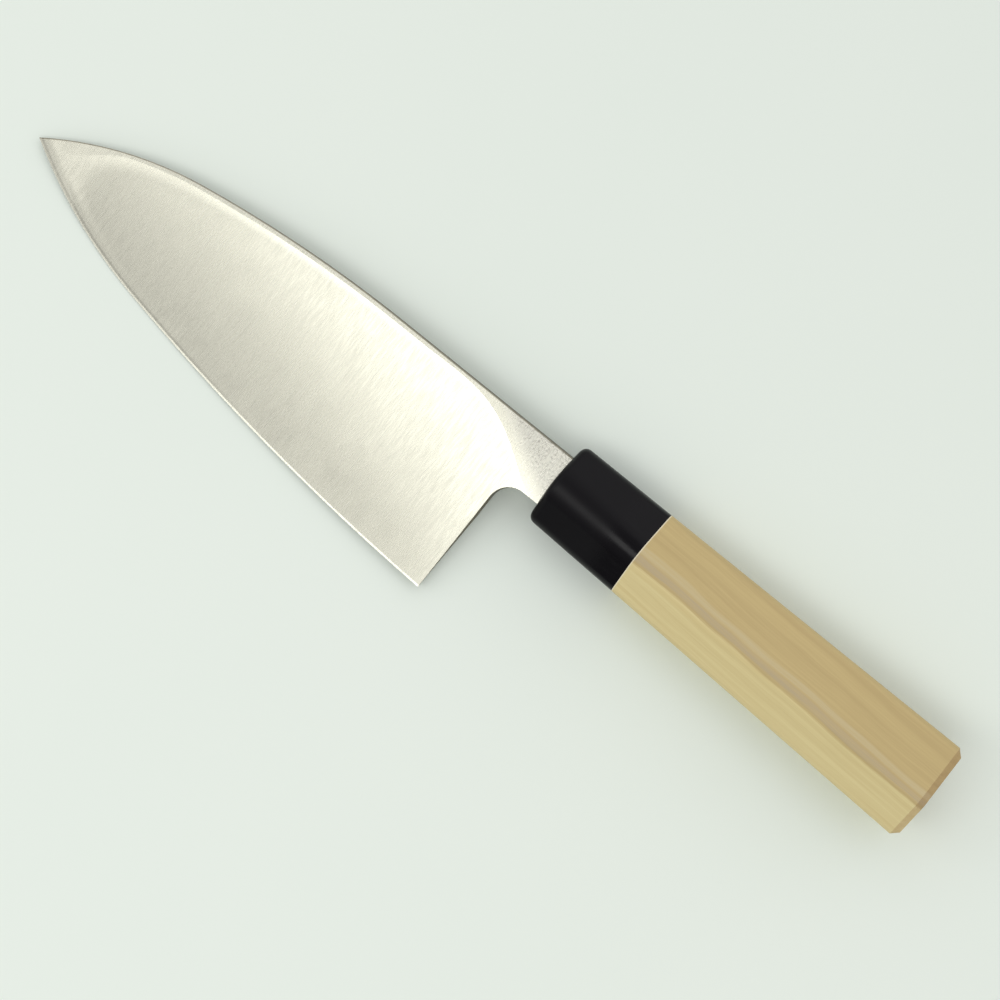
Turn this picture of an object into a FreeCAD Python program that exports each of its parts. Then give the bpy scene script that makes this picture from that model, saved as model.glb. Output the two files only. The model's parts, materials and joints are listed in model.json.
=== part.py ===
import FreeCAD, Part
import Sketcher
import math
import os

# Single-bevel butchering knife with a wooden handle of the friction-fitted kind, lying on a table.
#
# Every piece is drawn in the knife's own frame: origin on the handle's axis at the ferrule's front
# face, +X towards the butt, +Y towards the spine, +Z out of the hollow-ground face.
# The last step lays the whole knife down, bevel side below, with the centre of its footprint at the
# origin and +Z up.

doc = FreeCAD.newDocument("butchering_knife")
Vector = FreeCAD.Vector

# Millimetres and degrees. "Reach" is measured from the ferrule's face towards the tip, "drop" from
# the handle's axis towards the cutting edge.
DIMENSIONS = [
    # blade outline
    ("tip_reach", 173, "tip"),
    ("spine_height", 8.3, "straight part of the spine, above the axis"),
    ("spine_straight", 60, "straight part of the spine"),
    ("spine_radius", 410, "first curve of the spine"),
    ("spine_turn_reach", 128, "where the spine's curve tightens towards the tip"),
    ("crest_back", 7.3, "lowest point of the edge's long curve, behind the ferrule's face"),
    ("crest_drop", 45.4, "lowest point of the edge's long curve"),
    ("edge_radius", 720, "long curve of the cutting edge"),
    ("belly_reach", 125, "where the edge's curve tightens towards the tip"),
    ("belly_radius", 153, "curve of the edge near the tip"),
    ("heel_reach", 11.5, "back of the heel"),
    ("choil_radius", 6.5, "rounded corner between the heel's back and the neck"),
    ("neck_drop", 7.2, "lower side of the neck"),
    # blade thickness
    ("neck_thickness", 5.8, "neck, and spine at the ferrule"),
    ("taper_reach", 180, "length over which the bevel side is thinned"),
    ("taper_depth", 4.5, "how much it is thinned at that reach"),
    ("bevel_run", 26, "width in which the bevel would cross the neck's thickness"),
    ("edge_land", 0.3, "thickness left along the cutting edge"),
    ("edge_margin", 4, "how far the bevel's cut runs past the cutting edge and the tip"),
    ("wheel_radius", 430, "wheel that ground the hollow"),
    ("spine_rim", 1.3, "flat rim left along the spine"),
    ("edge_rim", 0.5, "flat rim left along the cutting edge"),
    ("rim_growth", 0.25, "slope at which the rims widen towards the tip"),
    ("rim_growth_reach", 150, "where they start to widen"),
    ("hollow_reach", 166, "front end of the hollow"),
    ("runout_reach", 27, "where the hollow runs out at the spine's rim"),
    ("runout_end", 1.5, "where it runs out at the neck's lower side"),
    ("layer_thickness", 1.6, "hard steel layer on the hollow-ground face"),
    ("layer_end_top", 25, "rear end of that layer at the spine"),
    ("layer_end_low", 0.6, "rear end of that layer at the neck's lower side"),
    # tang
    ("tang_length", 88, "tang behind the ferrule's face"),
    ("tang_height", 12, "tang at its root, spine to edge"),
    ("tang_thickness", 5, "tang at its root"),
    ("tang_end_height", 6, "tang at its end"),
    ("tang_end_thickness", 2.6, "tang at its end"),
    # handle's outer form
    ("grip_length", 129, "ferrule and wood together"),
    ("ferrule_length", 30, "ferrule"),
    ("front_top", 13.3, "spine side at the front"),
    ("front_low", 12.3, "edge side at the front"),
    ("front_ridge_drop", -1.4, "ridge at the front, a little towards the spine"),
    ("front_ridge_height", 11.4, "ridge at the front, out of the hollow side"),
    ("front_corner_height", 2.6, "corners where the facets meet the round side, at the front"),
    ("front_depth", 9.6, "round side at the front"),
    ("front_ridge_round", 10, "rounding of the ridge at the front"),
    ("front_corner_round", 4, "rounding of the two corners at the front"),
    ("butt_top", 13.1, "spine side at the butt"),
    ("butt_low", 16.3, "edge side at the butt"),
    ("butt_ridge_drop", 4.3, "ridge at the butt"),
    ("butt_ridge_height", 12, "ridge at the butt, out of the hollow side"),
    ("butt_corner_height", 3, "corners where the facets meet the round side, at the butt"),
    ("butt_depth", 11.4, "round side at the butt"),
    ("butt_ridge_round", 2.5, "rounding of the ridge at the butt"),
    ("butt_corner_round", 2.5, "rounding of the two corners at the butt"),
    ("front_round", 2.2, "rounding of the ferrule's front rim"),
    ("butt_chamfer", 1.9, "bevelled rim of the butt"),
    # joints inside the handle
    ("ferrule_wall", 4, "ferrule's front wall"),
    ("tenon_height", 18, "wood's tenon in the ferrule, spine to edge"),
    ("tenon_thickness", 14.5, "wood's tenon in the ferrule"),
    ("slot_height", 12.8, "slot in the ferrule's front wall"),
    ("slot_thickness", 5.5, "slot in the ferrule's front wall"),
    ("hole_height", 13.4, "tang hole at the tenon's front"),
    ("hole_thickness", 6.6, "tang hole at the tenon's front"),
    ("hole_end", 91, "bottom of the tang hole"),
    ("hole_end_height", 7.4, "tang hole at its bottom"),
    ("hole_end_thickness", 4, "tang hole at its bottom"),
    # how the knife lies
    ("rest_pitch", 2.44, "angle by which the tip lies lower than the butt"),
    ("rest_roll", 11.7, "angle by which the edge lies lower than the spine"),
]


def add_sheet():
    """The spreadsheet of driving dimensions."""
    sheet = doc.addObject("Spreadsheet::Sheet", "Dimensions")
    for row, (alias, value, meaning) in enumerate(DIMENSIONS, start=1):
        sheet.set(f"A{row}", meaning)
        sheet.set(f"B{row}", str(value))
        sheet.setAlias(f"B{row}", alias)
    doc.recompute()
    return sheet


SHEET = add_sheet()


def size(alias):
    """A dimension's value, for a sketch's first guess and for shapes that follow a formula."""
    return float(SHEET.get(alias))


def cell(alias):
    """A dimension's name in an expression."""
    return f"Dimensions.{alias}"


# ---------------------------------------------------------------- sketches


def body_plane(body, role):
    """One of a body's own origin planes."""
    return next(item for item in body.Origin.OriginFeatures if item.Role == role)


def add_sketch(body, name, role, offset=None):
    """A sketch on one of the body's origin planes, moved along its normal by an expression."""
    sketch = body.newObject("Sketcher::SketchObject", name)
    sketch.AttachmentSupport = [(body_plane(body, role), "")]
    sketch.MapMode = "FlatFace"
    if offset:
        sketch.setExpression(".AttachmentOffset.Base.z", offset)
    return sketch


def shared_ends(sketch, first, second):
    """Which end of one edge meets which end of the next."""
    for first_end in (1, 2):
        for second_end in (1, 2):
            gap = sketch.getPoint(first, first_end) - sketch.getPoint(second, second_end)
            if gap.Length < 1e-6:
                return first_end, second_end
    raise ValueError(f"{sketch.Label}: edges {first} and {second} don't meet")


def draw(sketch, edges, smooth_after=(), is_open=False):
    """Draws edges end to end. Each edge in smooth_after is tangent to the edge that follows it."""
    sketch.addGeometry(edges)
    joints = len(edges) - 1 if is_open else len(edges)
    for first in range(joints):
        second = (first + 1) % len(edges)
        first_end, second_end = shared_ends(sketch, first, second)
        kind = "Tangent" if first in smooth_after else "Coincident"
        sketch.addConstraint(Sketcher.Constraint(kind, first, first_end, second, second_end))


def drive(sketch, constraint, name, expression):
    """Adds a dimensional constraint that follows an expression."""
    index = sketch.addConstraint(constraint)
    sketch.renameConstraint(index, name)
    sketch.setExpression(f"Constraints.{name}", expression)


def hold(sketch, kind, edge, point, name, value, expression, below=False):
    """Holds a point's DistanceX or DistanceY from the origin. Below is the minus side."""
    ends = (edge, point, -1, 1) if below else (-1, 1, edge, point)
    drive(sketch, Sketcher.Constraint(kind, *ends, value), name, expression)


def hold_cell(sketch, kind, edge, point, alias, below=False):
    """Holds a point's DistanceX or DistanceY from the origin at a cell."""
    hold(sketch, kind, edge, point, alias, size(alias), cell(alias), below)


def hold_radius(sketch, edge, alias):
    """Holds an arc's radius at a cell."""
    drive(sketch, Sketcher.Constraint("Radius", edge, size(alias)), alias, cell(alias))


def short_arc(centre, start, end):
    """The arc about centre from start to end, the short way round."""
    middle = (start + end) * 0.5 - centre
    middle.normalize()
    return Part.Arc(start, centre + middle * (start - centre).Length, end)


# ---------------------------------------------------------------- blade


class Outline:
    """The blade's corners and the centres of its curves, from the driving dimensions."""

    def __init__(self):
        self.edge_centre = Vector(size("crest_back"), size("edge_radius") - size("crest_drop"), 0)
        self.crest = Vector(size("crest_back"), -size("crest_drop"), 0)
        self.belly = self.on_circle(self.edge_centre, size("edge_radius"), -size("belly_reach"), -1)
        inward = (self.edge_centre - self.belly).normalize()
        self.belly_centre = self.belly + inward * size("belly_radius")
        self.tip = self.on_circle(self.belly_centre, size("belly_radius"), -size("tip_reach"), -1)
        self.heel = self.on_circle(self.edge_centre, size("edge_radius"), -size("heel_reach"), -1)

        self.spine_root = Vector(0, size("spine_height"), 0)
        self.spine_bend = Vector(-size("spine_straight"), size("spine_height"), 0)
        self.spine_centre = self.spine_bend - Vector(0, size("spine_radius"), 0)
        turn = -size("spine_turn_reach")
        self.spine_turn = self.on_circle(self.spine_centre, size("spine_radius"), turn, 1)
        inward = (self.spine_centre - self.spine_turn).normalize()
        chord = self.tip - self.spine_turn
        self.nose_radius = chord.dot(chord) / (2 * chord.dot(inward))
        self.nose_centre = self.spine_turn + inward * self.nose_radius

        choil = size("choil_radius")
        self.neck_root = Vector(0, -size("neck_drop"), 0)
        self.neck_front = Vector(self.heel.x + choil, self.neck_root.y, 0)
        self.choil_centre = self.neck_front - Vector(0, choil, 0)
        self.heel_top = Vector(self.heel.x, self.choil_centre.y, 0)

    @staticmethod
    def on_circle(centre, radius, x, side):
        """The point of a circle at a station; side is +1 for the spine's side, -1 for the edge's."""
        return Vector(x, centre.y + side * math.sqrt(radius**2 - (x - centre.x) ** 2), 0)

    def spine_at(self, x):
        """Height of the spine at a station along the blade."""
        if x > self.spine_bend.x:
            return self.spine_root.y
        if x > self.spine_turn.x:
            return self.on_circle(self.spine_centre, size("spine_radius"), x, 1).y
        return self.on_circle(self.nose_centre, self.nose_radius, x, 1).y

    def edge_at(self, x):
        """Height of the cutting edge at a station along the blade."""
        if x > self.belly.x:
            return self.on_circle(self.edge_centre, size("edge_radius"), x, -1).y
        return self.on_circle(self.belly_centre, size("belly_radius"), x, -1).y


OUTLINE = Outline()


def draw_outline(sketch):
    """Spine, tip, cutting edge, heel, choil and neck, closed across the ferrule's face."""
    line = OUTLINE
    spine, spine_arc, nose, belly, edge, heel, choil, neck = range(8)
    draw(
        sketch,
        [
            Part.LineSegment(line.spine_root, line.spine_bend),
            short_arc(line.spine_centre, line.spine_bend, line.spine_turn),
            short_arc(line.nose_centre, line.spine_turn, line.tip),
            short_arc(line.belly_centre, line.tip, line.belly),
            short_arc(line.edge_centre, line.belly, line.heel),
            Part.LineSegment(line.heel, line.heel_top),
            short_arc(line.choil_centre, line.heel_top, line.neck_front),
            Part.LineSegment(line.neck_front, line.neck_root),
            Part.LineSegment(line.neck_root, line.spine_root),
        ],
        smooth_after=(spine, spine_arc, belly, heel, choil),
    )
    sketch.addConstraint(Sketcher.Constraint("Horizontal", spine))
    sketch.addConstraint(Sketcher.Constraint("PointOnObject", spine, 1, -2))
    hold_cell(sketch, "DistanceY", spine, 1, "spine_height")
    hold_cell(sketch, "DistanceX", spine, 2, "spine_straight", below=True)
    hold_radius(sketch, spine_arc, "spine_radius")
    hold_cell(sketch, "DistanceX", spine_arc, 2, "spine_turn_reach", below=True)
    hold_cell(sketch, "DistanceX", nose, 2, "tip_reach", below=True)
    hold_radius(sketch, belly, "belly_radius")
    hold_long_curve(sketch, edge, belly_end=1)
    hold_cell(sketch, "DistanceX", heel, 1, "heel_reach", below=True)
    sketch.addConstraint(Sketcher.Constraint("Vertical", heel))
    hold_radius(sketch, choil, "choil_radius")
    sketch.addConstraint(Sketcher.Constraint("Horizontal", neck))
    hold_cell(sketch, "DistanceY", neck, 1, "neck_drop", below=True)
    sketch.addConstraint(Sketcher.Constraint("PointOnObject", neck, 2, -2))


def hold_long_curve(sketch, edge, belly_end):
    """Centre, radius and front end of the cutting edge's long curve."""
    hold_cell(sketch, "DistanceX", edge, 3, "crest_back")
    height = f"{cell('edge_radius')} - {cell('crest_drop')}"
    hold(sketch, "DistanceY", edge, 3, "edge_centre", OUTLINE.edge_centre.y, height)
    hold_radius(sketch, edge, "edge_radius")
    hold_cell(sketch, "DistanceX", edge, belly_end, "belly_reach", below=True)


def draw_taper(sketch):
    """Side view of what thinning the bevel side takes off, in X and Z."""
    half = size("neck_thickness") / 2
    reach = size("taper_reach")
    root = Vector(0, -half, 0)
    front_low = Vector(-reach, -half, 0)
    front_high = Vector(-reach, size("taper_depth") - half, 0)
    draw(
        sketch,
        [
            Part.LineSegment(root, front_high),
            Part.LineSegment(front_high, front_low),
            Part.LineSegment(front_low, root),
        ],
    )
    sketch.addConstraint(Sketcher.Constraint("Vertical", 1))
    sketch.addConstraint(Sketcher.Constraint("Horizontal", 2))
    sketch.addConstraint(Sketcher.Constraint("PointOnObject", 0, 1, -2))
    half_neck = f"{cell('neck_thickness')} / 2"
    hold(sketch, "DistanceY", 0, 1, "lower_face", half, half_neck, below=True)
    hold_cell(sketch, "DistanceX", 1, 1, "taper_reach", below=True)
    depth = Sketcher.Constraint("DistanceY", 1, 2, 1, 1, size("taper_depth"))
    drive(sketch, depth, "taper_depth", cell("taper_depth"))


def draw_edge_path(sketch):
    """The cutting edge, run on past the heel to its lowest point and past the tip."""
    line = OUTLINE
    end_reach = size("tip_reach") + size("edge_margin")
    beyond = line.on_circle(line.belly_centre, size("belly_radius"), -end_reach, -1)
    belly, edge = range(2)
    draw(
        sketch,
        [
            short_arc(line.belly_centre, beyond, line.belly),
            short_arc(line.edge_centre, line.belly, line.crest),
        ],
        smooth_after=(belly,),
        is_open=True,
    )
    hold_radius(sketch, belly, "belly_radius")
    reach = f"{cell('tip_reach')} + {cell('edge_margin')}"
    hold(sketch, "DistanceX", belly, 1, "path_end", end_reach, reach, below=True)
    hold_long_curve(sketch, edge, belly_end=1)
    sketch.addConstraint(Sketcher.Constraint("Vertical", edge, 3, edge, 2))


def draw_bevel_wedge(sketch):
    """Section, in Y and Z, of what grinding the bevel takes off below the cutting edge."""
    half = size("neck_thickness") / 2
    edge_height = half - size("edge_land")
    edge_y = -size("crest_drop")
    outer_y = edge_y - size("edge_margin")
    inner_y = edge_y + size("bevel_run")
    draw(
        sketch,
        [
            Part.LineSegment(Vector(edge_y, edge_height, 0), Vector(outer_y, edge_height, 0)),
            Part.LineSegment(Vector(outer_y, edge_height, 0), Vector(outer_y, -half, 0)),
            Part.LineSegment(Vector(outer_y, -half, 0), Vector(inner_y, -half, 0)),
            Part.LineSegment(Vector(inner_y, -half, 0), Vector(edge_y, edge_height, 0)),
        ],
    )
    for kind, line in (("Horizontal", 0), ("Vertical", 1), ("Horizontal", 2)):
        sketch.addConstraint(Sketcher.Constraint(kind, line))
    hold_cell(sketch, "DistanceX", 0, 1, "crest_drop", below=True)
    land = f"{cell('neck_thickness')} / 2 - {cell('edge_land')}"
    hold(sketch, "DistanceY", 0, 1, "edge_height", edge_height, land)
    outer = f"{cell('crest_drop')} + {cell('edge_margin')}"
    hold(sketch, "DistanceX", 0, 2, "outer_side", -outer_y, outer, below=True)
    inner = f"{cell('crest_drop')} - {cell('bevel_run')}"
    hold(sketch, "DistanceX", 2, 2, "inner_side", -inner_y, inner, below=True)
    half_neck = f"{cell('neck_thickness')} / 2"
    hold(sketch, "DistanceY", 2, 1, "lower_face", half, half_neck, below=True)


def make_forging():
    """Blade and neck with flat hollow side: a plate, thinned to the tip, with its bevel ground."""
    body = doc.addObject("PartDesign::Body", "forging")
    outline = add_sketch(body, "outline", "XY_Plane", f"-{cell('neck_thickness')} / 2")
    draw_outline(outline)
    plate = body.newObject("PartDesign::Pad", "plate")
    plate.Profile = outline
    plate.setExpression("Length", cell("neck_thickness"))

    taper = add_sketch(body, "taper", "XZ_Plane")
    draw_taper(taper)
    thinning = body.newObject("PartDesign::Pocket", "thinning")
    thinning.Profile = taper
    thinning.Type = "ThroughAll"
    thinning.Midplane = True

    path = add_sketch(body, "edge_path", "XY_Plane")
    draw_edge_path(path)
    wedge = add_sketch(body, "bevel_wedge", "YZ_Plane", cell("crest_back"))
    draw_bevel_wedge(wedge)
    doc.recompute()
    bevel = body.newObject("PartDesign::SubtractivePipe", "bevel")
    bevel.Profile = wedge
    bevel.Spine = (path, ["Edge1", "Edge2"])
    doc.recompute()
    check_cut(plate, thinning)
    check_cut(thinning, bevel)
    return body


def check_cut(before, after):
    """Stops if a cut took nothing off."""
    if after.Shape.Volume > before.Shape.Volume - 1:
        raise ValueError(f"{after.Label} cuts nothing")


def hollow_section(x):
    """What the grinding wheel takes off at one station: an arc of its rim, open at the top."""
    top = size("neck_thickness") / 2
    growth = size("rim_growth") * max(0, -x - size("rim_growth_reach"))
    low = OUTLINE.edge_at(x) + size("edge_rim") + growth
    high = OUTLINE.spine_at(x) - size("spine_rim") - growth
    runout_start = -size("runout_reach")
    if x > runout_start:
        share = (x - runout_start) / (size("runout_reach") - size("runout_end"))
        high -= share * (OUTLINE.spine_root.y - OUTLINE.neck_root.y - size("spine_rim"))
    depth = (high - low) ** 2 / (8 * size("wheel_radius"))
    arc = Part.Arc(
        Vector(x, low, top), Vector(x, (low + high) / 2, top - depth), Vector(x, high, top)
    ).toShape()
    clear = Vector(0, 0, 2)
    corners = [Vector(x, high, top), Vector(x, high, top) + clear, Vector(x, low, top) + clear]
    corners.append(Vector(x, low, top))
    sides = [Part.makeLine(*pair) for pair in zip(corners, corners[1:])]
    return Part.Wire([arc] + sides)


def make_hollow():
    """The whole sweep of the wheel, through stations that lie closer together near the tip."""
    count = 14
    span = size("hollow_reach")
    stations = [-span * (1 - (step / count) ** 1.5) for step in range(count + 1)]
    hollow = doc.addObject("Part::Feature", "hollow")
    hollow.Shape = Part.makeLoft([hollow_section(x) for x in stations], True, False)
    return hollow


def add_taper_block(name, start, end, sections):
    """A rectangular block along the handle's axis that narrows from one section to another.

    start and end are expressions for its stations; sections are two (height, thickness) pairs of
    aliases.
    """
    block = doc.addObject("Part::Wedge", name)
    turn_to_axis = FreeCAD.Rotation(Vector(0, 0, 1), -90)
    block.Placement = FreeCAD.Placement(Vector(0, 0, 0), turn_to_axis)
    block.setExpression("Ymin", start)
    block.setExpression("Ymax", end)
    for prefix, (height, thickness) in zip(("", "2"), sections):
        block.setExpression(f"X{prefix}min", f"-{cell(height)} / 2")
        block.setExpression(f"X{prefix}max", f"{cell(height)} / 2")
        block.setExpression(f"Z{prefix}min", f"-{cell(thickness)} / 2")
        block.setExpression(f"Z{prefix}max", f"{cell(thickness)} / 2")
    return block


def combine(kind, name, base, tool):
    """A Part boolean of two objects."""
    result = doc.addObject(f"Part::{kind}", name)
    result.Base = base
    result.Tool = tool
    return result


def draw_layer_zone(sketch):
    """Plan of the hard layer: all of the blade, cut off on a slant across the neck."""
    neck = size("neck_drop")
    spine = size("spine_height")
    front = size("taper_reach")
    low = size("crest_drop") + size("edge_margin")
    slant_low = Vector(-size("layer_end_low"), -neck, 0)
    slant_top = Vector(-size("layer_end_top"), spine, 0)
    top_front = Vector(-front, spine, 0)
    low_front = Vector(-front, -low, 0)
    low_rear = Vector(-size("layer_end_low"), -low, 0)
    draw(
        sketch,
        [
            Part.LineSegment(slant_low, slant_top),
            Part.LineSegment(slant_top, top_front),
            Part.LineSegment(top_front, low_front),
            Part.LineSegment(low_front, low_rear),
            Part.LineSegment(low_rear, slant_low),
        ],
    )
    for kind, line in (("Horizontal", 1), ("Vertical", 2), ("Horizontal", 3), ("Vertical", 4)):
        sketch.addConstraint(Sketcher.Constraint(kind, line))
    hold_cell(sketch, "DistanceX", 0, 1, "layer_end_low", below=True)
    hold_cell(sketch, "DistanceY", 0, 1, "neck_drop", below=True)
    hold_cell(sketch, "DistanceX", 0, 2, "layer_end_top", below=True)
    hold_cell(sketch, "DistanceY", 0, 2, "spine_height")
    hold_cell(sketch, "DistanceX", 2, 2, "taper_reach", below=True)
    depth = f"{cell('crest_drop')} + {cell('edge_margin')}"
    hold(sketch, "DistanceY", 2, 2, "low_side", low, depth, below=True)


def make_layer_zone():
    """The space that the hard layer fills before it is ground."""
    body = doc.addObject("PartDesign::Body", "layer_zone")
    level = f"{cell('neck_thickness')} / 2 - {cell('layer_thickness')}"
    plan = add_sketch(body, "layer_plan", "XY_Plane", level)
    draw_layer_zone(plan)
    zone = body.newObject("PartDesign::Pad", "layer_pad")
    zone.Profile = plan
    zone.setExpression("Length", f"{cell('layer_thickness')} + 1")
    return body


def make_blade():
    """The ground blade with its tang, then parted into its soft body and its hard layer."""
    forging = make_forging()
    ground = combine("Cut", "ground_blade", forging, make_hollow())
    sections = (("tang_height", "tang_thickness"), ("tang_end_height", "tang_end_thickness"))
    tang = add_taper_block("tang", "0", cell("tang_length"), sections)
    whole = combine("Fuse", "whole_blade", ground, tang)
    zone = make_layer_zone()
    blade_body = combine("Cut", "blade_body", whole, zone)
    edge_steel = combine("Common", "edge_steel", whole, zone)
    return whole, blade_body, edge_steel


# ---------------------------------------------------------------- handle


def section_corners(end):
    """The section's corners before rounding: ridge, edge side, lowest point and spine side."""
    top = size(f"{end}_top")
    low = -size(f"{end}_low")
    corner = size(f"{end}_corner_height")
    ridge = Vector(-size(f"{end}_ridge_drop"), size(f"{end}_ridge_height"), 0)
    bottom = Vector((top + low) / 2, -size(f"{end}_depth"), 0)
    return ridge, Vector(low, corner, 0), bottom, Vector(top, corner, 0)


def rounded_ridge(ridge, edge_corner, spine_corner, radius):
    """Where the ridge's rounding leaves the two facets, and its centre."""
    to_edge = (edge_corner - ridge).normalize()
    to_spine = (spine_corner - ridge).normalize()
    half_angle = to_edge.getAngle(to_spine) / 2
    reach = radius / math.tan(half_angle)
    inward = (to_edge + to_spine).normalize()
    centre = ridge + inward * (radius / math.sin(half_angle))
    return ridge + to_edge * reach, ridge + to_spine * reach, centre


def rounded_corner(ridge, corner, round_centre, round_radius, radius):
    """Where a corner's rounding leaves its facet and the round side, and its centre."""
    along = (corner - ridge).normalize()
    inward = Vector(-along.y, along.x, 0)
    if inward.dot(round_centre - corner) < 0:
        inward = inward * -1
    start = ridge + inward * radius - round_centre
    nearest = -start.dot(along)
    half_chord = math.sqrt(nearest**2 + (round_radius - radius) ** 2 - start.dot(start))
    centre = ridge + inward * radius + along * (nearest + half_chord)
    outward = (centre - round_centre).normalize()
    return centre - inward * radius, round_centre + outward * round_radius, centre


def draw_section(sketch, end):
    """Handle's section in Y and Z: two facets that meet in a rounded ridge, over a round side."""
    ridge, edge_corner, bottom, spine_corner = section_corners(end)
    half_width = (spine_corner.x - edge_corner.x) / 2
    rise = spine_corner.y - bottom.y
    side_radius = (half_width**2 + rise**2) / (2 * rise)
    side_centre = bottom + Vector(0, side_radius, 0)
    corner_round = size(f"{end}_corner_round")
    ridge_edge, ridge_spine, ridge_centre = rounded_ridge(
        ridge, edge_corner, spine_corner, size(f"{end}_ridge_round")
    )
    edge_facet_end, edge_side, edge_centre = rounded_corner(
        ridge, edge_corner, side_centre, side_radius, corner_round
    )
    spine_facet_end, spine_side, spine_centre = rounded_corner(
        ridge, spine_corner, side_centre, side_radius, corner_round
    )
    edge_facet, edge_round, edge_arc, spine_arc, spine_round, spine_facet, ridge_arc = range(7)
    draw(
        sketch,
        [
            Part.LineSegment(ridge_edge, edge_facet_end),
            short_arc(edge_centre, edge_facet_end, edge_side),
            short_arc(side_centre, edge_side, bottom),
            short_arc(side_centre, bottom, spine_side),
            short_arc(spine_centre, spine_side, spine_facet_end),
            Part.LineSegment(spine_facet_end, ridge_spine),
            short_arc(ridge_centre, ridge_spine, ridge_edge),
        ],
        smooth_after=range(7),
    )
    sketch.addConstraint(Sketcher.Constraint("Vertical", edge_arc, 3, edge_arc, 2))
    sketch.addConstraint(Sketcher.Constraint("Equal", edge_arc, spine_arc))
    hold_cell(sketch, "DistanceY", edge_arc, 2, f"{end}_depth", below=True)
    for arc, name in ((ridge_arc, "ridge_round"), (edge_round, "corner_round")):
        hold_radius(sketch, arc, f"{end}_{name}")
    sketch.addConstraint(Sketcher.Constraint("Equal", edge_round, spine_round))

    ridge_point = add_corner(sketch, ridge, edge_facet, spine_facet)
    hold_cell(sketch, "DistanceX", ridge_point, 1, f"{end}_ridge_drop", below=True)
    hold_cell(sketch, "DistanceY", ridge_point, 1, f"{end}_ridge_height")
    edge_point = add_corner(sketch, edge_corner, edge_facet, edge_arc)
    hold_cell(sketch, "DistanceX", edge_point, 1, f"{end}_low", below=True)
    hold_cell(sketch, "DistanceY", edge_point, 1, f"{end}_corner_height")
    spine_point = add_corner(sketch, spine_corner, spine_facet, spine_arc)
    hold_cell(sketch, "DistanceX", spine_point, 1, f"{end}_top")
    sketch.addConstraint(Sketcher.Constraint("Horizontal", edge_point, 1, spine_point, 1))


def add_corner(sketch, place, first, second):
    """A construction point where two edges would meet without their rounding."""
    point = sketch.addGeometry(Part.Point(place), True)
    for edge in (first, second):
        sketch.addConstraint(Sketcher.Constraint("PointOnObject", point, 1, edge))
    return point


def edges_at(shape, x):
    """The edges that lie in the plane across the handle at a station."""
    tolerance = 1e-4
    boxes = [(edge, edge.BoundBox) for edge in shape.Edges]
    return [
        edge for edge, box in boxes if max(abs(box.XMin - x), abs(box.XMax - x)) < tolerance
    ]


def make_grip_form():
    """Outer form of ferrule and wood together, so that they meet flush."""
    body = doc.addObject("PartDesign::Body", "grip_form")
    front = add_sketch(body, "front_section", "YZ_Plane")
    draw_section(front, "front")
    butt = add_sketch(body, "butt_section", "YZ_Plane", cell("grip_length"))
    draw_section(butt, "butt")
    loft = body.newObject("PartDesign::AdditiveLoft", "grip_loft")
    loft.Profile = front
    loft.Sections = [butt]
    loft.Ruled = True
    doc.recompute()
    return body


def make_eased_grip(grip):
    """The outer form with its front rim rounded and the butt's rim bevelled."""
    shape = grip.Shape
    shape = shape.makeFillet(size("front_round"), edges_at(shape, 0))
    shape.fix(1e-4, 1e-4, 1e-3)
    shape = shape.makeChamfer(size("butt_chamfer"), edges_at(shape, size("grip_length")))
    shape.fix(1e-4, 1e-4, 1e-3)
    eased = doc.addObject("Part::Feature", "eased_grip")
    eased.Shape = shape.Solids[0]
    return eased


def add_box(name, start, end):
    """A box across the whole handle between two stations, given as expressions."""
    box = doc.addObject("Part::Box", name)
    width = 40
    box.Width = width
    box.Height = width
    box.Placement.Base = Vector(0, -width / 2, -width / 2)
    box.setExpression(".Placement.Base.x", start)
    box.setExpression("Length", f"{end} - ({start})")
    return box


def draw_tenon(sketch):
    """Long round section of the tenon: two half circles and two flats."""
    radius = size("tenon_thickness") / 2
    reach = size("tenon_height") / 2 - radius
    left = Vector(-reach, 0, 0)
    right = Vector(reach, 0, 0)
    up = Vector(0, radius, 0)
    side = Vector(radius, 0, 0)
    top, left_end, low, right_end = range(4)
    draw(
        sketch,
        [
            Part.LineSegment(right + up, left + up),
            Part.Arc(left + up, left - side, left - up),
            Part.LineSegment(left - up, right - up),
            Part.Arc(right - up, right + side, right + up),
        ],
        smooth_after=(top, left_end, low, right_end),
    )
    sketch.addConstraint(Sketcher.Constraint("Symmetric", left_end, 3, right_end, 3, -1, 1))
    sketch.addConstraint(Sketcher.Constraint("Horizontal", top))
    half_thick = f"{cell('tenon_thickness')} / 2"
    radius_rule = Sketcher.Constraint("Radius", left_end, radius)
    drive(sketch, radius_rule, "half_thickness", half_thick)
    spread = Sketcher.Constraint("DistanceX", left_end, 3, right_end, 3, 2 * reach)
    drive(sketch, spread, "spread", f"{cell('tenon_height')} - {cell('tenon_thickness')}")


def make_tenon():
    """The wood's tenon, from the ferrule's front wall to a little way inside the wood."""
    body = doc.addObject("PartDesign::Body", "tenon")
    section = add_sketch(body, "tenon_section", "YZ_Plane", cell("ferrule_wall"))
    draw_tenon(section)
    pad = body.newObject("PartDesign::Pad", "tenon_pad")
    pad.Profile = section
    pad.setExpression("Length", f"{cell('ferrule_length')} - {cell('ferrule_wall')} + 1")
    return body


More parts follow.
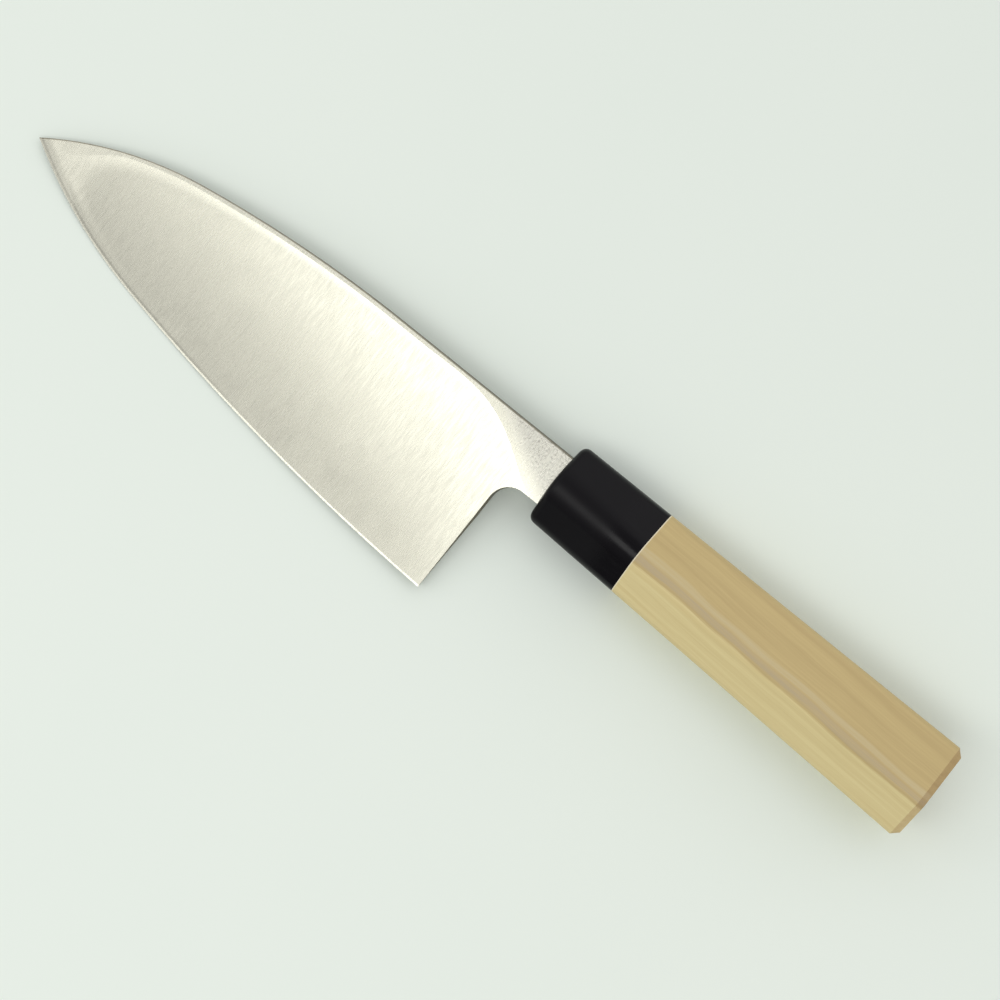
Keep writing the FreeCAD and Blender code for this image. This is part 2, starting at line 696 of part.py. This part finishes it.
def make_handle(whole_blade):
    """Ferrule, wood and the resin in the slot and in the tang hole."""
    grip = make_eased_grip(make_grip_form())
    tenon = make_tenon()
    slot_section = ("slot_height", "slot_thickness")
    slot = add_taper_block("slot", "0", cell("ferrule_wall"), (slot_section, slot_section))
    hole_sections = (("hole_height", "hole_thickness"), ("hole_end_height", "hole_end_thickness"))
    hole = add_taper_block("tang_hole", cell("ferrule_wall"), cell("hole_end"), hole_sections)

    front_zone = add_box("ferrule_zone", "-1", cell("ferrule_length"))
    front_part = combine("Common", "ferrule_form", grip, front_zone)
    bored = combine("Cut", "bored_ferrule", front_part, tenon)
    ferrule = combine("Cut", "ferrule", bored, slot)

    rear_zone = add_box("wood_zone", cell("ferrule_length"), f"{cell('grip_length')} + 1")
    rear_part = combine("Common", "wood_form", grip, rear_zone)
    wood = combine("Fuse", "wood_with_tenon", rear_part, tenon)
    handle_body = combine("Cut", "handle_body", wood, hole)

    mouth_seal = combine("Cut", "mouth_seal", slot, whole_blade)
    tang_bedding = combine("Cut", "tang_bedding", hole, whole_blade)
    return ferrule, handle_body, mouth_seal, tang_bedding


# ---------------------------------------------------------------- the knife as it lies


def resting_rotation():
    """Tip lower than butt, then edge lower than spine."""
    pitch = FreeCAD.Rotation(Vector(0, 1, 0), -size("rest_pitch"))
    roll = FreeCAD.Rotation(Vector(1, 0, 0), size("rest_roll"))
    return pitch.multiply(roll)


def lay_down(pieces):
    """Gives all pieces one placement, with the centre of their footprint at the origin."""
    turn = FreeCAD.Placement(Vector(0, 0, 0), resting_rotation())
    whole = Part.makeCompound([piece.Shape for piece in pieces])
    whole.transformShape(turn.toMatrix())
    box = whole.optimalBoundingBox(False, False)
    shift = Vector(-box.Center.x, -box.Center.y, -box.ZMin)
    for piece in pieces:
        piece.Placement = FreeCAD.Placement(shift, resting_rotation())
    return shift


def check_document(pieces):
    """Stops on any failed feature or bad shape."""
    for item in doc.Objects:
        if "Invalid" in item.State or "Error" in item.State:
            raise ValueError(f"{item.Label} failed: {item.State}")
    for piece in pieces:
        if piece.Shape.isNull() or not piece.Shape.isValid():
            raise ValueError(f"{piece.Label} has no valid shape")


def main():
    whole_blade, *blade_pieces = make_blade()
    doc.recompute()
    pieces = blade_pieces + list(make_handle(whole_blade))
    doc.recompute()
    check_document(pieces)
    shift = lay_down(pieces)
    doc.recompute()
    check_document(pieces)
    os.makedirs("parts", exist_ok=True)
    for piece in pieces:
        piece.Shape.exportStep(f"parts/{piece.Label}.step")
        volume = piece.Shape.Volume / 1000
        print(f"{piece.Label}: {len(piece.Shape.Solids)} solid, {volume:.2f} cm3")
    print(f"ferrule's front centre at {shift.x:.3f}, {shift.y:.3f}, {shift.z:.3f} mm")


main()
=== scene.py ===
import json
import math
from collections import namedtuple

import bpy
from mathutils import Matrix, Vector


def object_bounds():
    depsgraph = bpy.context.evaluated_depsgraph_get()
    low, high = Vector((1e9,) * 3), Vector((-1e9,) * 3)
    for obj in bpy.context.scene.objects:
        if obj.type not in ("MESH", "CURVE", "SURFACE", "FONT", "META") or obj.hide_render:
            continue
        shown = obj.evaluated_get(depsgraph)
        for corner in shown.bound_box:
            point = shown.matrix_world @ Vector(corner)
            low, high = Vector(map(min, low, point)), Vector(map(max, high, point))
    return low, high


# A single-bevel butchering knife lying hollow face up on a pale table.
#
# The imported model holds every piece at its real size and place. This script gives the pieces their
# materials, and adds the table, the lights and the camera.
# Lengths are metres, except inside the materials, whose patterns are laid out in millimetres.

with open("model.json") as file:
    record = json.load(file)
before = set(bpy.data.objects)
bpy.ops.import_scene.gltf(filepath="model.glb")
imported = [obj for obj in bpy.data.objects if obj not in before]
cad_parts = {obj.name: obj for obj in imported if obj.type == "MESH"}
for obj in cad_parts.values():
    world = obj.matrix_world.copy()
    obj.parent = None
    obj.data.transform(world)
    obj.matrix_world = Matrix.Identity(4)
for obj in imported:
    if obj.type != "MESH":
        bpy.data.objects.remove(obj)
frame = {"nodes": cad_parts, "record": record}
cad_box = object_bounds()
box_low, box_high = cad_box
box_middle = (box_low + box_high) / 2

MILLIMETRE = 0.001


# ---- The knife's own axes: X towards the butt, Y towards the spine, Z out of the hollow face ----

HOLLOW_FACE_LEVEL = 2.9    # millimetres from the knife's middle plane up to the flats round the hollow
NECK_MOUNT = "rack_face_hollow_side"
NECK_POINT = Vector((-10.0, 0.0, HOLLOW_FACE_LEVEL)) * MILLIMETRE    # that mount, on the knife's own axes


def knife_axes():
    """The axes as the columns of a rotation, and their origin: the handle's axis at the ferrule's face."""
    mount = next(m for m in frame["record"]["mounts"] if m["name"] == NECK_MOUNT)
    up = Vector(mount["axis"]).normalized()
    along = Vector((up.z, 0.0, -up.x)).normalized()
    across = up.cross(along)
    rotation = Matrix((along, across, up)).transposed()
    return rotation, Vector(mount["pos_m"]) - rotation @ NECK_POINT


knife_rotation, knife_origin = knife_axes()
KNIFE_ALONG, _, KNIFE_UP = knife_rotation.col


# ---- Materials ----


class Recipe:
    """A material being made: its node tree, with a short method for each kind of node used often."""

    def __init__(self, name):
        self.material = bpy.data.materials.new(name)
        self.material.use_nodes = True
        self.tree = self.material.node_tree
        self.shader = self.tree.nodes["Principled BSDF"]

    def feed(self, socket, value):
        """Links a node's output to the socket, or sets a plain value on it."""
        if isinstance(value, bpy.types.NodeSocket):
            self.tree.links.new(value, socket)
        elif socket.type == "RGBA":
            socket.default_value = (*value, 1.0)
        else:
            socket.default_value = value

    def add(self, kind, inputs=(), **settings):
        node = self.tree.nodes.new("ShaderNode" + kind)
        for name, value in settings.items():
            setattr(node, name, value)
        for name, value in dict(inputs).items():
            self.feed(node.inputs[name], value)
        return node

    def set(self, **values):
        """Shader inputs by name, with _ for a space."""
        for name, value in values.items():
            self.feed(self.shader.inputs[name.replace("_", " ")], value)

    def position(self):
        """The place on the knife's own axes, in millimetres."""
        place = self.add("TexCoord").outputs["Object"]
        mapping = self.add("Mapping", {"Vector": place}, vector_type="TEXTURE")
        mapping.inputs["Location"].default_value = knife_origin
        mapping.inputs["Rotation"].default_value = knife_rotation.to_euler()
        mapping.inputs["Scale"].default_value = (MILLIMETRE,) * 3
        return mapping.outputs["Vector"]

    def axes(self, vector):
        parts = self.add("SeparateXYZ", {"Vector": vector})
        return parts.outputs["X"], parts.outputs["Y"], parts.outputs["Z"]

    def maths(self, operation, first, second=0.0, third=0.0):
        node = self.add("Math", operation=operation)
        for socket, value in zip(node.inputs, (first, second, third)):
            self.feed(socket, value)
        return node.outputs[0]

    def choose(self, condition, if_true, if_false):
        """One of two values, by a condition that is 1 or 0."""
        return self.maths("MULTIPLY_ADD", condition, self.maths("SUBTRACT", if_true, if_false), if_false)

    def stretch(self, vector, along, across, up):
        """A place with each axis multiplied, so that a pattern laid on it is finer by that much."""
        node = self.add("VectorMath", operation="MULTIPLY")
        self.feed(node.inputs[0], vector)
        self.feed(node.inputs[1], (along, across, up))
        return node.outputs[0]

    def noise(self, vector, detail=2.0, roughness=0.5):
        values = {"Vector": vector, "Scale": 1.0, "Detail": detail, "Roughness": roughness}
        return self.add("TexNoise", values).outputs["Fac"]

    def spread(self, value, low, high, new_low=0.0, new_high=1.0, smooth=False):
        """value's range from low to high, laid over the range from new_low to new_high and held there."""
        values = {"Value": value, "From Min": low, "From Max": high, "To Min": new_low, "To Max": new_high}
        kind = "SMOOTHSTEP" if smooth else "LINEAR"
        return self.add("MapRange", values, interpolation_type=kind).outputs["Result"]

    def mix(self, factor, first, second, mode="MIX"):
        node = self.add("Mix", data_type="RGBA", blend_type=mode)
        self.feed(node.inputs["Factor"], factor)
        self.feed(node.inputs[6], first)
        self.feed(node.inputs[7], second)
        return node.outputs[2]

    def bump(self, height, distance, strength=1.0, normal=None):
        """height, from 0 to 1, raised by distance millimetres."""
        values = {"Height": height, "Distance": distance * MILLIMETRE, "Strength": strength}
        if normal is not None:
            values["Normal"] = normal
        return self.add("Bump", values).outputs["Normal"]

    def vector(self, x, y, z):
        return self.add("CombineXYZ", {"X": x, "Y": y, "Z": z}).outputs["Vector"]

    def facing(self, direction):
        """How squarely the surface faces a direction: 1 square on, 0 edge on, -1 turned away."""
        node = self.add("VectorMath", operation="DOT_PRODUCT")
        self.feed(node.inputs[0], self.add("NewGeometry").outputs["Normal"])
        self.feed(node.inputs[1], direction)
        return node.outputs["Value"]


def tint(colour, factor):
    return [part * factor for part in colour]


# ---- The blade's outline, in millimetres on the knife's own axes ----

Circle = namedtuple("Circle", "centre radius")


def carry_on(circle, start, side, end):
    """The circle that leaves another smoothly at a station, and ends at a point.

    side is 1 where the outline follows the upper half of the circle, and -1 on the lower half.
    """
    rise = math.sqrt(circle.radius ** 2 - (start - circle.centre.x) ** 2)
    joint = Vector((start, circle.centre.y + side * rise))
    inwards = (circle.centre - joint).normalized()
    chord = end - joint
    radius = chord.length_squared / (2 * chord.dot(inwards))
    return Circle(joint + inwards * radius, radius)


TIP = Vector((-173.0, -15.47))

SPINE_HEIGHT = 8.3        # of the straight stretch behind SPINE_BENDS
SPINE_BENDS = -60.0
SPINE_RADIUS = 410.0
SPINE_BEND = Circle(Vector((SPINE_BENDS, SPINE_HEIGHT - SPINE_RADIUS)), SPINE_RADIUS)
NOSE_START = -128.0
NOSE = carry_on(SPINE_BEND, NOSE_START, 1, TIP)

LONG_EDGE = Circle(Vector((7.3, 674.6)), 720.0)
BELLY_START = -125.0
BELLY = carry_on(LONG_EDGE, BELLY_START, -1, TIP)

# where the ground hollow ends and the neck's unground face begins
HOLLOW_END_TOP = Vector((-27.0, 8.2))
HOLLOW_END_LOW = Vector((-1.5, -7.2))


def distance_inside(recipe, along, across, circle):
    """Millimetres inside a circle."""
    x = recipe.maths("SUBTRACT", along, circle.centre.x)
    y = recipe.maths("SUBTRACT", across, circle.centre.y)
    squares = recipe.maths("MULTIPLY_ADD", x, x, recipe.maths("MULTIPLY", y, y))
    return recipe.maths("SUBTRACT", circle.radius, recipe.maths("SQRT", squares))


def distance_from_edge(recipe, along, across):
    """Millimetres inside the cutting edge."""
    long_edge = distance_inside(recipe, along, across, LONG_EDGE)
    belly = distance_inside(recipe, along, across, BELLY)
    return recipe.choose(recipe.maths("LESS_THAN", along, BELLY_START), belly, long_edge)


def distance_from_spine(recipe, along, across):
    """Millimetres inside the spine."""
    straight = recipe.maths("SUBTRACT", SPINE_HEIGHT, across)
    bend = distance_inside(recipe, along, across, SPINE_BEND)
    nose = distance_inside(recipe, along, across, NOSE)
    behind_nose = recipe.choose(recipe.maths("LESS_THAN", along, SPINE_BENDS), bend, straight)
    return recipe.choose(recipe.maths("LESS_THAN", along, NOSE_START), nose, behind_nose)


def distance_past_hollow(recipe, along, across):
    """Millimetres behind the line where the hollow runs out, negative inside the hollow."""
    line = (HOLLOW_END_LOW - HOLLOW_END_TOP).normalized()
    backwards = Vector((-line.y, line.x))
    first = recipe.maths("MULTIPLY", along, backwards.x)
    total = recipe.maths("MULTIPLY_ADD", across, backwards.y, first)
    return recipe.maths("SUBTRACT", total, backwards.dot(HOLLOW_END_TOP))


# ---- Steel ----

EDGE_LINE_INSET = 1.2                            # millimetres inside the edge, before it wanders
EDGE_LINE_FULL, EDGE_LINE_GONE = -112.0, -70.0    # stations between which the line fades out
# width of the painted shade line inside the spine, and the colours of the painted shade on the walls and
# along the spine
SPINE_LINE_WIDTH = 0.45
WALL_SHADE_DARK, WALL_SHADE_PALE = (0.11, 0.095, 0.065), (0.23, 0.205, 0.15)


def ground_steel(recipe, place, colour, scratches, flat):
    """Colour of the wheel-ground hollow, cloudy, and brighter where the flats were stoned."""
    shade = recipe.spread(scratches, 0.6, 1.1)
    clouds = recipe.noise(recipe.stretch(place, 0.06, 0.06, 0.06), detail=2.0)
    wheel = recipe.mix(shade, tint(colour, 0.9), tint(colour, 1.07))
    cloudy = recipe.mix(recipe.spread(clouds, 0.35, 0.65, 0.0, 0.3), wheel, tint(colour, 0.93))
    stoned = recipe.mix(shade, tint(colour, 1.2), tint(colour, 1.33))
    return recipe.mix(flat, cloudy, stoned)


def edge_line(recipe, along, inset, pits):
    """Strength of the faint dark line that runs just inside the edge towards the tip."""
    near_tip = recipe.spread(along, EDGE_LINE_FULL, EDGE_LINE_GONE, 1.0, 0.0, smooth=True)
    wandering = recipe.maths("MULTIPLY_ADD", pits, 0.8, inset)
    beside = recipe.maths("ABSOLUTE", recipe.maths("SUBTRACT", wandering, EDGE_LINE_INSET))
    line = recipe.spread(beside, 0.1, 0.6, 0.55, 0.0, smooth=True)
    return recipe.maths("MULTIPLY", near_tip, line)


def painted_wall_shade(recipe, along, across):
    """Painted shade: dark on the outline's narrow walls, which turn edge on to the face, and in a line
    just inside the spine.
    """
    wall = recipe.spread(recipe.maths("ABSOLUTE", recipe.facing(KNIFE_UP)), 0.35, 0.6, 1.0, 0.0)
    # a painted shade line just inside the spine
    below_spine = distance_from_spine(recipe, along, across)
    return recipe.maths("MAXIMUM", wall, recipe.spread(below_spine, 0.2, SPINE_LINE_WIDTH, 0.85, 0.0))


def make_steel(name, ground_colour, raw_colour, roughness):
    """Satin steel: wheel-ground across the blade, stoned on the flats, and grey with pits on the neck,
    with painted shade on the narrow walls and along the spine.
    """
    recipe = Recipe(name)
    place = recipe.position()
    along, across, up = recipe.axes(place)
    lines = recipe.noise(recipe.stretch(place, 1.9, 0.2, 1.9), detail=1.0)
    fine = recipe.noise(recipe.stretch(place, 4.0, 0.2, 4.0), detail=2.0, roughness=0.6)
    pits = recipe.noise(recipe.stretch(place, 1.7, 1.7, 1.7), detail=4.0, roughness=0.7)
    scratches = recipe.maths("MULTIPLY_ADD", fine, 0.7, lines)

    # the flats round the hollow, and the raw face of the neck, whose border wanders with the pits
    inset = distance_from_edge(recipe, along, across)
    level = recipe.spread(up, HOLLOW_FACE_LEVEL - 0.11, HOLLOW_FACE_LEVEL - 0.01, smooth=True)
    flat = recipe.maths("MULTIPLY", level, recipe.spread(inset, 2.0, 3.5))
    past = distance_past_hollow(recipe, along, across)
    wandering = recipe.maths("MULTIPLY_ADD", pits, 5.0, past)
    raw = recipe.maths("MULTIPLY", flat, recipe.spread(wandering, 1.5, 7.5, smooth=True))

    ground = ground_steel(recipe, place, ground_colour, scratches, flat)
    ground = recipe.mix(edge_line(recipe, along, inset, pits), ground, tint(ground_colour, 0.55))
    pitted = recipe.mix(recipe.spread(pits, 0.36, 0.5), tint(raw_colour, 0.62), raw_colour)
    # painted shade on the narrow walls and in a line along the spine, mottled by the pits
    wall_shade = painted_wall_shade(recipe, along, across)
    wall_shade_colour = recipe.mix(recipe.spread(pits, 0.35, 0.6), WALL_SHADE_DARK, WALL_SHADE_PALE)
    ground_roughness = recipe.spread(scratches, 0.6, 1.1, roughness + 0.04, roughness - 0.04)
    pitting = recipe.bump(recipe.maths("MULTIPLY", pits, raw), 0.012)
    recipe.set(
        Base_Color=recipe.mix(wall_shade, recipe.mix(raw, ground, pitted), wall_shade_colour),
        Metallic=1.0,
        Roughness=recipe.maths("MULTIPLY_ADD", wall_shade, 0.3, ground_roughness),
        Anisotropic=0.6,
        Tangent=recipe.vector(*KNIFE_ALONG),
        Normal=recipe.bump(scratches, 0.0007, 1.0, pitting),
    )
    return recipe.material


# ---- Ferrule ----

DULL_UNTIL, POLISHED_FROM = 17.0, 27.0    # millimetres behind the ferrule's face


def make_ferrule_plastic():
    """Black moulded plastic with flow marks and rubs along the handle, dull in front, polished behind."""
    recipe = Recipe("black_ferrule")
    place = recipe.position()
    rubs = recipe.noise(recipe.stretch(place, 0.25, 3.5, 3.5), detail=4.0, roughness=0.6)
    swell = recipe.noise(recipe.stretch(place, 0.12, 0.25, 0.25), detail=1.0)
    along, _, _ = recipe.axes(place)
    dull = recipe.spread(along, DULL_UNTIL, POLISHED_FROM, 0.36, 0.14, smooth=True)
    recipe.set(
        Base_Color=recipe.mix(rubs, (0.0012, 0.0008, 0.0016), (0.003, 0.0022, 0.0038)),
        Roughness=recipe.maths("MAXIMUM", recipe.spread(rubs, 0.3, 0.7, 0.14, 0.24), dull),
        IOR=1.4,
        Specular_IOR_Level=0.25,
        Normal=recipe.bump(swell, 0.06, 0.6, recipe.bump(rubs, 0.003)),
    )
    return recipe.material


# ---- Wood ----

# The grain follows a line that starts below the handle's axis at the ferrule's face and falls away
# towards the butt. Heights in millimetres above that line place the change of colour and the streaks.
GRAIN_LINE_DROP = 0.9
GRAIN_SLOPE = 0.0345
# where the darker spine-side colour begins, which is partly the wood's own colour and partly painted shade
# of the facet turned from the light
SHADED_SIDE_START = -0.6
# middle, half width, colour and strength of each grey streak
MINERAL_STREAKS = [
    (1.3, 1.3, (0.47, 0.375, 0.225), 0.9),
    (3.5, 1.3, (0.58, 0.485, 0.285), 0.75),
]
FRAY = 1.2                 # how far the fibres carry a colour's edge back and forth
FRAY_MEAN = FRAY / 2
JOINT_REACH = 30.0         # where the wood meets the ferrule

# the spine-side colours are darker partly as painted shade, for the facet that faces away from the light
EDGE_SIDE_WOOD_PALE, EDGE_SIDE_WOOD_DEEP = (0.76, 0.64, 0.33), (0.68, 0.55, 0.265)
SPINE_SIDE_WOOD_AND_SHADE_PALE, SPINE_SIDE_WOOD_AND_SHADE_DEEP = (0.56, 0.43, 0.195), (0.49, 0.365, 0.163)
END_GRAIN_TINT = (0.84, 0.76, 0.72)
# colour of the painted highlight along the wood's edge where it meets the ferrule
JOINT_HIGHLIGHT_COLOUR = (0.86, 0.80, 0.62)


def make_wood():
    """Pale wood: yellow on the edge side, browner and darker on the spine side, partly its own colour and
    partly painted shade, and grey streaks beside it.
    """
    recipe = Recipe("magnolia_wood")
    place = recipe.position()
    along, across, up = recipe.axes(place)
    drift = recipe.noise(recipe.stretch(place, 0.03, 0.1, 0.1), detail=2.0)
    wander = recipe.maths("SUBTRACT", drift, 0.5)
    sloped = recipe.maths("MULTIPLY_ADD", along, GRAIN_SLOPE, across)
    from_line = recipe.maths("ADD", sloped, GRAIN_LINE_DROP)
    drifted = recipe.maths("MULTIPLY_ADD", wander, 2.5, from_line)
    grain = recipe.vector(along, drifted, up)
    bands = recipe.noise(recipe.stretch(grain, 0.008, 0.6, 0.35), detail=3.0, roughness=0.6)
    fibres = recipe.noise(recipe.stretch(grain, 0.045, 2.6, 2.6), detail=5.0, roughness=0.7)
    hairs = recipe.noise(recipe.stretch(grain, 0.3, 7.0, 7.0), detail=3.0, roughness=0.6)
    figure = recipe.maths("MULTIPLY_ADD", fibres, 0.7, bands)

    depth = recipe.spread(figure, 0.65, 1.05)
    edge_side_wood = recipe.mix(depth, EDGE_SIDE_WOOD_PALE, EDGE_SIDE_WOOD_DEEP)
    spine_side_wood_and_shade = recipe.mix(depth, SPINE_SIDE_WOOD_AND_SHADE_PALE, SPINE_SIDE_WOOD_AND_SHADE_DEEP)
    frayed = recipe.maths("MULTIPLY_ADD", fibres, FRAY, drifted)
    # browner on the spine side of the ridge, partly wood colour and partly painted shade
    shaded_side_edge = SHADED_SIDE_START + FRAY_MEAN
    on_shaded_side = recipe.spread(frayed, shaded_side_edge - 0.3, shaded_side_edge + 0.5, smooth=True)
    colour = recipe.mix(on_shaded_side, edge_side_wood, spine_side_wood_and_shade)

    for middle, half_width, shade, strength in MINERAL_STREAKS:
        beside = recipe.maths("ABSOLUTE", recipe.maths("SUBTRACT", frayed, middle + FRAY_MEAN))
        streak = recipe.spread(beside, half_width * 0.4, half_width, strength, 0.0, smooth=True)
        ragged = recipe.maths("MULTIPLY", streak, recipe.spread(fibres, 0.35, 0.6, 0.3, 1.0))
        colour = recipe.mix(ragged, colour, shade)

    # end grain on the butt and its bevelled rim, and a painted highlight in a pale line along the wood's
    # edge at the ferrule
    end_grain = recipe.spread(recipe.facing(KNIFE_ALONG), 0.3, 0.55)
    colour = recipe.mix(end_grain, colour, END_GRAIN_TINT, "MULTIPLY")
    # painted highlight: a pale line along the wood's edge at the ferrule
    line = recipe.spread(along, JOINT_REACH + 0.1, JOINT_REACH + 0.4, 0.8, 0.0)
    colour = recipe.mix(line, colour, JOINT_HIGHLIGHT_COLOUR)

    recipe.set(
        Base_Color=colour,
        Roughness=recipe.spread(fibres, 0.3, 0.7, 0.5, 0.62),
        Normal=recipe.bump(hairs, 0.02, 0.6, recipe.bump(fibres, 0.04, 0.6)),
    )
    return recipe.material


# ---- Resin and table ----


def make_resin():
    """Dark set resin, uneven where it was smeared round the tang."""
    recipe = Recipe("dark_resin")
    place = recipe.position()
    lumps = recipe.noise(recipe.stretch(place, 0.8, 0.8, 0.8), detail=4.0)
    recipe.set(
        Base_Color=recipe.mix(lumps, (0.03, 0.022, 0.015), (0.09, 0.06, 0.035)),
        Roughness=recipe.spread(lumps, 0.3, 0.7, 0.35, 0.6),
        Normal=recipe.bump(lumps, 0.15),
    )
    return recipe.material


def make_table_paint():
    """Pale matt table top with the faintest mottling."""
    recipe = Recipe("pale_table")
    place = recipe.add("TexCoord").outputs["Object"]
    mottle = recipe.noise(recipe.stretch(place, 9.0, 9.0, 9.0), detail=3.0)
    recipe.set(
        Base_Color=recipe.mix(mottle, (0.80, 0.865, 0.80), (0.83, 0.885, 0.82)),
        Roughness=0.9,
        Specular_IOR_Level=0.1,
    )
    return recipe.material


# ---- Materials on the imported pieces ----

NECK_GREY = (0.58, 0.57, 0.505)

resin = make_resin()
node_materials = {
    "blade_body": make_steel("soft_steel", (0.60, 0.59, 0.505), NECK_GREY, 0.28),
    "edge_steel": make_steel("hard_steel", (0.61, 0.60, 0.51), NECK_GREY, 0.26),
    "ferrule": make_ferrule_plastic(),
    "handle_body": make_wood(),
    "mouth_seal": resin,
    "tang_bedding": resin,
}
for node_name, material in node_materials.items():
    for material_slot in frame["nodes"][node_name].material_slots:
        material_slot.link = "OBJECT"
        material_slot.material = material


# ---- Table, lights and camera ----

TABLE_HALF_WIDTH = 3.0

# Heights at which the sky changes, as the sine of the angle above the horizon.
SHOULDER_LOW, SHOULDER_HIGH, ZENITH_START = 0.55, 0.88, 0.985

AIM_OFFSET = Vector((0.0131, 0.0031, -0.004))    # from the middle of the knife's box
CAMERA_DISTANCE = 0.680
CAMERA_LEAN, CAMERA_TURN = 8.0, 39.7             # degrees off the vertical, and round it
CAMERA_LENS, SENSOR_WIDTH = 90.8, 36.0           # millimetres


def add_table():
    """A broad flat table top, just under the knife."""
    half = TABLE_HALF_WIDTH
    corners = [(-half, -half, 0), (half, -half, 0), (half, half, 0), (-half, half, 0)]
    mesh = bpy.data.meshes.new("table")
    mesh.from_pydata(corners, [], [(0, 1, 2, 3)])
    mesh.materials.append(make_table_paint())
    table = bpy.data.objects.new("table", mesh)
    bpy.context.scene.collection.objects.link(table)


def add_area_light(name, lean, turn, spin, distance, size, watts, colour):
    """A rectangular light aimed at the knife.

    It is lean degrees off the vertical, towards turn degrees from +X, and spun about its own beam.
    """
    data = bpy.data.lights.new(name, "AREA")
    data.shape = "RECTANGLE"
    data.size, data.size_y = size
    data.energy = watts
    data.color = colour
    light = bpy.data.objects.new(name, data)
    aimed = Matrix.Rotation(math.radians(turn), 3, "Z") @ Matrix.Rotation(math.radians(lean), 3, "Y")
    light.location = box_middle + aimed.col[2] * distance
    light.rotation_euler = (aimed @ Matrix.Rotation(math.radians(spin), 3, "Z")).to_euler()
    bpy.context.scene.collection.objects.link(light)


def add_sky(strength, zenith, shoulder, horizon, brighter_side):
    """A soft white room: dimmer straight above, brightest at the shoulder, and dimmer again low down."""
    world = bpy.data.worlds.new("soft_room")
    world.use_nodes = True
    tree = world.node_tree
    direction = tree.nodes.new("ShaderNodeTexCoord").outputs["Generated"]
    parts = tree.nodes.new("ShaderNodeSeparateXYZ")
    tree.links.new(direction, parts.inputs["Vector"])
    ramp = tree.nodes.new("ShaderNodeValToRGB")
    tree.links.new(parts.outputs["Z"], ramp.inputs["Fac"])
    stops = ramp.color_ramp
    stops.interpolation = "EASE"
    stops.elements[0].position, stops.elements[0].color = 0.0, (horizon, horizon, horizon, 1.0)
    stops.elements[1].position, stops.elements[1].color = ZENITH_START, (zenith, zenith, zenith, 1.0)
    for height in (SHOULDER_HIGH, SHOULDER_LOW):
        stops.elements.new(height).color = (shoulder, shoulder, shoulder, 1.0)
    bias = tree.nodes.new("ShaderNodeVectorMath")
    bias.operation = "DOT_PRODUCT"
    tree.links.new(direction, bias.inputs[0])
    bias.inputs[1].default_value = brighter_side * strength
    level = tree.nodes.new("ShaderNodeMath")
    level.operation = "ADD"
    tree.links.new(bias.outputs["Value"], level.inputs[0])
    level.inputs[1].default_value = strength
    background = tree.nodes["Background"]
    tree.links.new(ramp.outputs["Color"], background.inputs["Color"])
    tree.links.new(level.outputs["Value"], background.inputs["Strength"])
    bpy.context.scene.world = world


def add_camera():
    """Looks down at the knife, leaning towards the cutting edge, turned so the blade points up left."""
    lean, turn = math.radians(CAMERA_LEAN), math.radians(CAMERA_TURN)
    data = bpy.data.cameras.new("camera")
    data.lens = CAMERA_LENS
    data.sensor_width = SENSOR_WIDTH
    camera = bpy.data.objects.new("camera", data)
    away = Vector((math.sin(lean) * math.sin(turn), -math.sin(lean) * math.cos(turn), math.cos(lean)))
    camera.location = box_middle + AIM_OFFSET + away * CAMERA_DISTANCE
    camera.rotation_euler = (lean, 0.0, turn)
    bpy.context.scene.collection.objects.link(camera)
    bpy.context.scene.camera = camera


add_table()
add_area_light(
    "window", lean=25.9, turn=-99.5, spin=28.5, distance=1.5,
    size=(0.5, 1.6), watts=6.0, colour=(1.0, 1.0, 0.98),
)
add_area_light(
    "side_window", lean=60.0, turn=205.0, spin=0.0, distance=1.5,
    size=(0.8, 0.8), watts=2.4, colour=(1.0, 1.0, 1.0),
)
add_sky(strength=0.90, zenith=0.50, shoulder=0.86, horizon=0.46, brighter_side=Vector((0.16, 0.50, 0.0)))
add_camera()
bpy.context.scene.view_settings.view_transform = "Standard"


# ---- Bring the scene up to date ----

bpy.context.view_layer.update()
